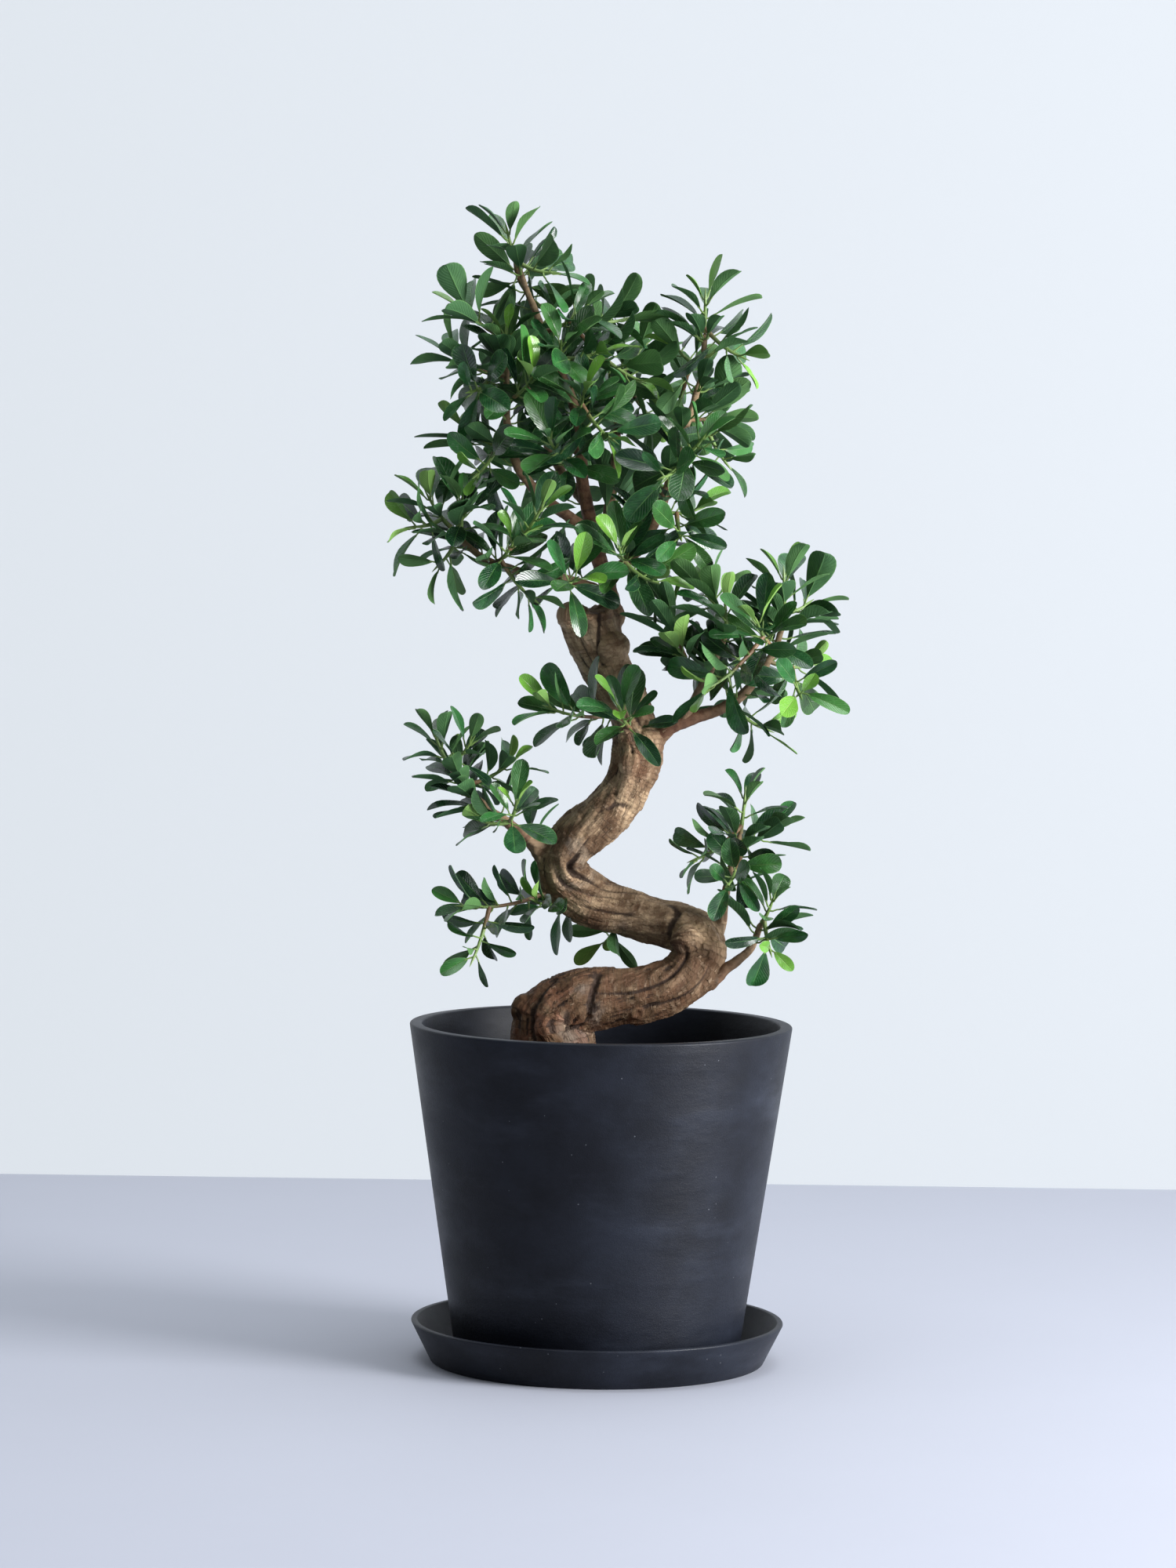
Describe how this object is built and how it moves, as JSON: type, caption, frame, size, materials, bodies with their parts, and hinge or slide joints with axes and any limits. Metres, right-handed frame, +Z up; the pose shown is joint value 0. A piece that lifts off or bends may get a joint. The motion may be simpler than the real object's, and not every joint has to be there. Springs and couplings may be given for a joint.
{
  "type": "potted bonsai tree",
  "caption": "Small-leaved fig bonsai with a twisting trunk and leafy branches, planted in a tapered round planter that stands on a shallow saucer.",
  "frame": {"origin": "centre of the saucer's flat underside, on the axis of the pot", "axes": "+Z up along the pot's axis, +X to the right and +Y to the back when the tree is seen from its front"},
  "size_m": [0.3674, 0.3, 0.8992],
  "materials": {
    "pot": "matt charcoal moulded planter with faint mottling and smears",
    "saucer": "matt charcoal moulded saucer, slightly darker than the pot",
    "drain_net": "black plastic drain mesh",
    "gravel": "washed drainage gravel",
    "soil": "reddish brown granular potting soil",
    "bark": "tan brown bark with lengthwise creases, folds and knots",
    "branch_bark": "smooth reddish brown bark turning green on young wood",
    "foliage": "glossy leathery green leaves, bright yellow-green at the shoot tips"
  },
  "bodies": {
    "root": {"back_leader": "branch_bark", "back_left_branch": "branch_bark", "back_left_shoot_low": "foliage", "back_left_shoot_top": "foliage", "back_shoot_low": "foliage", "back_shoot_right": "foliage", "back_shoot_top": "foliage", "crown_leader": "branch_bark", "crown_shoot_front": "foliage", "crown_shoot_left": "foliage", "crown_shoot_low": "foliage", "crown_shoot_low_right": "foliage", "crown_shoot_middle": "foliage", "crown_shoot_right": "foliage", "crown_shoot_top": "foliage", "drain_net": "drain_net", "drainage_gravel": "gravel", "far_left_branch": "branch_bark", "far_left_shoot_front": "foliage", "far_left_shoot_middle": "foliage", "far_left_shoot_tip": "foliage", "knee_branch": "branch_bark", "knee_shoot_right": "foliage", "knee_shoot_top": "foliage", "left_leader": "branch_bark", "left_leader_shoot_front": "foliage", "left_leader_shoot_low": "foliage", "left_leader_shoot_outer": "foliage", "left_leader_shoot_top": "foliage", "low_back_shoot": "foliage", "low_left_shoot_inner": "foliage", "low_left_shoot_outer": "foliage", "low_right_branch": "branch_bark", "low_right_shoot": "foliage", "middle_left_branch": "branch_bark", "middle_left_shoot_back": "foliage", "middle_left_shoot_front": "foliage", "middle_left_shoot_tip": "foliage", "pot": "pot", "potting_soil": "soil", "right_branch": "branch_bark", "right_branch_shoot_front": "foliage", "right_branch_shoot_hanging": "foliage", "right_branch_shoot_outer": "foliage", "right_branch_shoot_tip": "foliage", "right_inner_branch": "branch_bark", "right_inner_shoot_left": "foliage", "right_inner_shoot_tip": "foliage", "right_leader": "branch_bark", "right_leader_shoot_front": "foliage", "right_leader_shoot_inner": "foliage", "right_leader_shoot_low": "foliage", "right_leader_shoot_outer": "foliage", "right_leader_shoot_top": "foliage", "saucer": "saucer", "trunk": "bark", "trunk_shoot_front": "foliage", "trunk_shoot_left": "foliage"}
  },
  "joints": []
}
